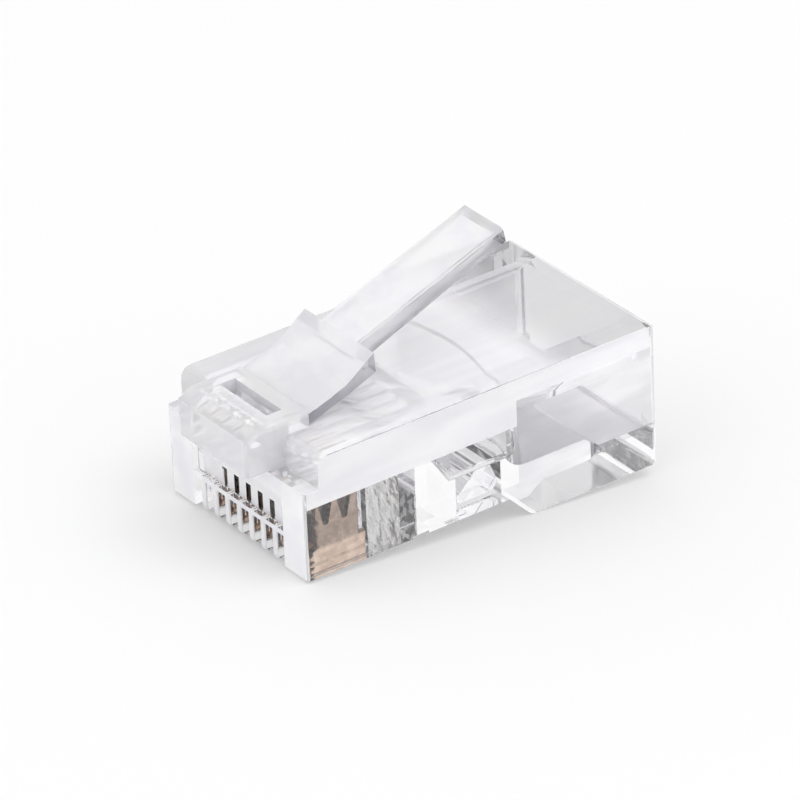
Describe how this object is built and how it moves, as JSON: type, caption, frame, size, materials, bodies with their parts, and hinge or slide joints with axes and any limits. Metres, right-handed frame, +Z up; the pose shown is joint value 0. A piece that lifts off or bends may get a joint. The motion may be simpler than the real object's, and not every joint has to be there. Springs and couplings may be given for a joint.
{
  "type": "rj45 modular plug",
  "caption": "Clear uncrimped modular plug for a round network cable, with a sprung latch, bronze contact blades, push-in strain relief bars and an open cable end.",
  "frame": {"origin": "on the nose face half way across the width, level with the underside of the cable end", "axes": "+X across the width, +Y from the nose to the cable end, +Z up to the latch side"},
  "size_m": [0.0116, 0.023, 0.0138],
  "materials": {
    "clear_body": "polished clear polycarbonate",
    "contact_metal": "bright stamped phosphor bronze"
  },
  "bodies": {
    "plug": {"housing": "clear_body"},
    "latch": {"latch": "clear_body"},
    "conductor_bar": {"conductor_bar": "clear_body"},
    "jacket_bar": {"jacket_bar": "clear_body"},
    "contact_1": {"contact_1": "contact_metal"},
    "contact_2": {"contact_2": "contact_metal"},
    "contact_3": {"contact_3": "contact_metal"},
    "contact_4": {"contact_4": "contact_metal"},
    "contact_5": {"contact_5": "contact_metal"},
    "contact_6": {"contact_6": "contact_metal"},
    "contact_7": {"contact_7": "contact_metal"},
    "contact_8": {"contact_8": "contact_metal"}
  },
  "joints": [
    {"name": "latch_press", "type": "hinge", "parent": "plug", "child": "latch", "pos_m": [0, 0.00245, 0.0083], "axis": [1, 0, 0], "range_deg": [-18, 0], "stiffness_Nm_per_rad": 0.1},
    {"name": "conductor_bar_push", "type": "slide", "parent": "plug", "child": "conductor_bar", "axis": [0, 0, 1], "range_m": [0, 0.0012]},
    {"name": "jacket_bar_swing", "type": "hinge", "parent": "plug", "child": "jacket_bar", "pos_m": [0, 0.01005, 0.00186], "axis": [1, 0, 0], "range_deg": [0, 35]},
    {"name": "contact_1_push", "type": "slide", "parent": "plug", "child": "contact_1", "axis": [0, 0, 1], "range_m": [0, 0.00075]},
    {"name": "contact_2_push", "type": "slide", "parent": "plug", "child": "contact_2", "axis": [0, 0, 1], "range_m": [0, 0.00075]},
    {"name": "contact_3_push", "type": "slide", "parent": "plug", "child": "contact_3", "axis": [0, 0, 1], "range_m": [0, 0.00075]},
    {"name": "contact_4_push", "type": "slide", "parent": "plug", "child": "contact_4", "axis": [0, 0, 1], "range_m": [0, 0.00075]},
    {"name": "contact_5_push", "type": "slide", "parent": "plug", "child": "contact_5", "axis": [0, 0, 1], "range_m": [0, 0.00075]},
    {"name": "contact_6_push", "type": "slide", "parent": "plug", "child": "contact_6", "axis": [0, 0, 1], "range_m": [0, 0.00075]},
    {"name": "contact_7_push", "type": "slide", "parent": "plug", "child": "contact_7", "axis": [0, 0, 1], "range_m": [0, 0.00075]},
    {"name": "contact_8_push", "type": "slide", "parent": "plug", "child": "contact_8", "axis": [0, 0, 1], "range_m": [0, 0.00075]}
  ]
}
